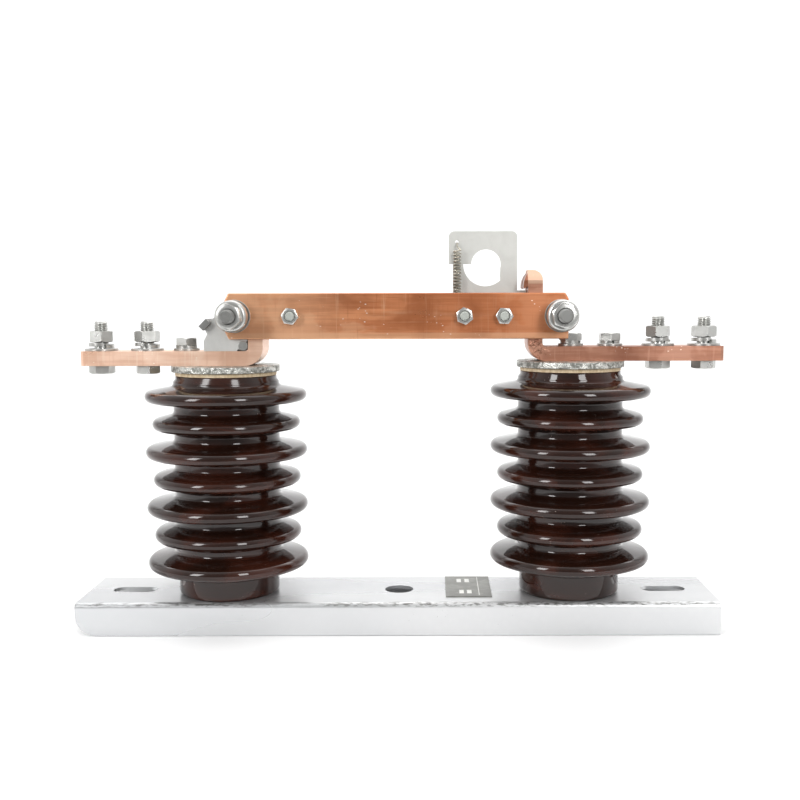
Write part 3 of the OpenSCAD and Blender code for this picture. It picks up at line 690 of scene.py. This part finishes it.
def blade(node, heel_cut, toe_cut):
    """A flat bar with its long edges rounded; washers cover its holes."""
    (x0, y0, z0), (x1, y1, z1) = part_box(node)
    outline = [(x0, z0 + heel_cut[1]), (x0 + heel_cut[0], z0), (x1, z0), (x1, z1 - toe_cut[1]),
               (x1 - toe_cut[0], z1), (x0 + heel_cut[0], z1), (x0, z1 - heel_cut[1])]
    obj = piece(node + "_rounded", *skin([[(x, y0, z) for x, z in outline],
                                         [(x, y1, z) for x, z in outline]]), BLADE_COPPER)
    edge(obj, 1.1 * MM, 4, 25)
    body_piece(obj, "blade", "copper", node)


def edge(obj, width, segments=2, angle=32):
    """Rounds an object's sharp edges. A CAD node's many small flat triangles are merged first."""
    if obj.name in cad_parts:
        obj.data.normals_split_custom_set([(0, 0, 0)] * len(obj.data.loops))
        weld = obj.modifiers.new("weld", "WELD")
        weld.merge_threshold = 0.01 * MM
        merge = obj.modifiers.new("merge_flat", "DECIMATE")
        merge.decimate_type, merge.angle_limit = "DISSOLVE", radians(0.5)
    bevel = obj.modifiers.new("round", "BEVEL")
    bevel.width, bevel.segments = width, segments
    bevel.limit_method, bevel.angle_limit = "ANGLE", radians(angle)
    flat = obj.modifiers.new("flat_faces", "WEIGHTED_NORMAL")
    flat.mode, flat.weight = "FACE_AREA", 100


def latch_spring():
    """A close coil with a hook in the ring plate and a loop round the middle tie bolt."""
    outer_r, wire_r, hook_h, end_h = mm(3.7, 0.62, 5, 3)
    x, y = centre("latch_spring").x, low("latch_spring").y + outer_r
    z0, top_z = low("latch_spring").z, high("latch_spring").z
    z1 = top_z - hook_h
    turns = coil(outer_r - wire_r, z0 + end_h, z1 - end_h, 17)
    start = Vector((x, y, 0))
    route = [start + p for p in turns]
    foot = [Vector((x + 2.6 * MM * cos(a), y + 0.4 * MM, z0 + 1.4 * MM + 1.6 * MM * sin(a)))
            for a in [radians(t) for t in range(250, 20, -20)]]
    hook_z = top_z - 1.6 * MM
    end = route[-1]
    top = [end.lerp(Vector((x, y, z1)), t / 4) for t in range(1, 5)]
    top += [Vector((x, y + 5.6 * MM * t / 8, z1 + (hook_z - z1) * sin(pi / 2 * min(1, t / 5))))
            for t in range(1, 9)]
    obj = piece("latch_spring_coil", *wire(foot + route + top, wire_r, 8), WIRE)
    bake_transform(obj)
    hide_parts("latch_spring")


def block(name, x0, x1, y0, y1, z0, z1, material):
    corners = [(x0, y0), (x1, y0), (x1, y1), (x0, y1)]
    return piece(name, *skin([[(x, y, z0) for x, y in corners], [(x, y, z1) for x, y in corners]]),
                 material, smooth=False)


def rating_plate_marks():
    """Plain light boxes and a dividing line, with no words."""
    (x0, y0, _), (x1, y1, top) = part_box("rating_plate")
    t, proud, margin, half = mm(0.06, 0.04, 3, 5.5)
    top += proud
    w = x1 - x0
    boxes = [(x0 + 0.72 * w, x0 + 0.735 * w, y0 + margin, y1 - margin)]
    rear_y, front_y = y1 - 15 * MM, y0 + 14 * MM
    for share, y in ((0.26, rear_y), (0.44, rear_y), (0.30, front_y), (0.47, front_y)):
        boxes.append((x0 + share * w, x0 + (share + 0.10) * w, y - half, y + half))
    parts = [block("mark", *b, top - t, top, PALE_METAL) for b in boxes]
    body_piece(joined("rating_plate_marks", parts), "frame", "plate")


# ---------------------------------------------------------------- CAD nodes that stay


def dress(node, material, width):
    """Gives a CAD node its material and, unless width is 0, rounded edges."""
    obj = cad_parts[node]
    obj.data.materials.clear()
    obj.data.materials.append(material)
    if width:
        obj.data.shade_smooth()
        edge(obj, width)


DRESSED = [
    ("base_channel", GALVANISED, 0.3), ("rating_plate", PLATE_PAINT, 0.15),
    ("gasket_left", GASKET, 0.5), ("gasket_right", GASKET, 0.5),
    ("cap_plate_left", CAP_METAL, 0.5), ("cap_plate_right", CAP_METAL, 0.5),
    ("foot_bolts", PLATED, 0.0), ("foot_washers", PLATED, 0.0),
    ("hinge_terminal", HINGE_COPPER, 0.45), ("contact_terminal", CONTACT_COPPER, 0.45),
    ("hinge_bracket", SHEET, 0.4), ("stop_bar", DARK_STEEL, 0.4), ("bracket_pin", PLATED, 0.3),
    ("contact_spacer", PLATED, 0.0), ("tie_spacers", PLATED, 0.0), ("ring_plate", RING_STEEL, 0.3)]
for node, material, width in DRESSED:
    dress(node, material, width * MM)

line_fasteners()
cap_fasteners()
end_stack("hinge", 10)
end_stack("contact", 10)
tie_fasteners()
insulator("insulator_left")
insulator("insulator_right")
blade("blade_front", mm(4, 8), mm(3, 5))
blade("blade_rear", mm(4, 8), mm(3, 5))
latch_spring()
rating_plate_marks()


# ---------------------------------------------------------------- studio


def studio_floor():
    """A seamless sweep: flat under the object, curved up behind it."""
    half, front, back, rise, height = 3.5, -0.5, 0.9, 1.6, 2.6
    low_z = cad_box[0].z - 0.5 * MM
    line = [(front, low_z)] + arc(back, low_z + rise, rise, -90, 0, 40)
    line.append((back + rise, low_z + height))
    vertices = [(x, y, z) for x in (-half, half) for y, z in line]
    n = len(line)
    faces = [(k, k + 1, n + k + 1, n + k) for k in range(n - 1)]
    mesh = bpy.data.meshes.new("sweep")
    mesh.from_pydata(vertices, [], faces)
    mesh.materials.append(STUDIO)
    mesh.shade_smooth()
    sweep = bpy.data.objects.new("sweep", mesh)
    bpy.context.scene.collection.objects.link(sweep)


def softbox(name, at, aim, size, power):
    """A rectangular light at a place, turned to face another."""
    light = bpy.data.lights.new(name, "AREA")
    light.shape, light.size, light.size_y, light.energy = "RECTANGLE", *size, power
    obj = bpy.data.objects.new(name, light)
    obj.location = at
    obj.rotation_euler = (Vector(aim) - Vector(at)).to_track_quat("-Z", "Y").to_euler()
    bpy.context.scene.collection.objects.link(obj)


def surroundings():
    """Soft light from everywhere, brighter above and behind, darker from the camera's side."""
    world = bpy.data.worlds.new("studio")
    bpy.context.scene.world = world
    world.use_nodes = True
    tree = world.node_tree
    place_node = tree.nodes.new("ShaderNodeTexCoord")
    split = tree.nodes.new("ShaderNodeSeparateXYZ")
    ramp = tree.nodes.new("ShaderNodeMapRange")
    for i, value in enumerate((-0.9, 0.1, 0.25, 1.10)):
        ramp.inputs[i + 1].default_value = value
    tree.links.new(place_node.outputs["Generated"], split.inputs[0])
    tree.links.new(split.outputs["Y"], ramp.inputs[0])
    background = tree.nodes["Background"]
    background.inputs["Color"].default_value = (1, 1, 1, 1)
    tree.links.new(ramp.outputs[0], background.inputs["Strength"])


studio_floor()
surroundings()
middle = Vector((0, 0, 0.15))
softbox("front_left", (-1.25, -1.35, 0.9), middle, (0.45, 1.1), 18)
softbox("front_right", (0.8, -1.6, 0.9), middle, (0.45, 1.1), 16)
softbox("above", (0, 0.3, 1.9), middle, (2.2, 1.6), 12)
softbox("behind", (0, 1.9, 2.2), (0, 2.0, 0.6), (4.5, 1.0), 26)

# The photo's viewpoint: in front of the switch and a little above it, aimed slightly down
camera = bpy.data.objects.new("camera", bpy.data.cameras.new("camera"))
camera.data.sensor_width, camera.data.lens = 36, 47.22
camera.data.shift_x = -0.0405
camera.location = (0.030, -0.914, 0.279)
camera.rotation_euler = (pi / 2 - 0.09, 0.0022, 0)
bpy.context.scene.collection.objects.link(camera)
bpy.context.scene.camera = camera
bpy.context.scene.view_settings.view_transform = "Standard"
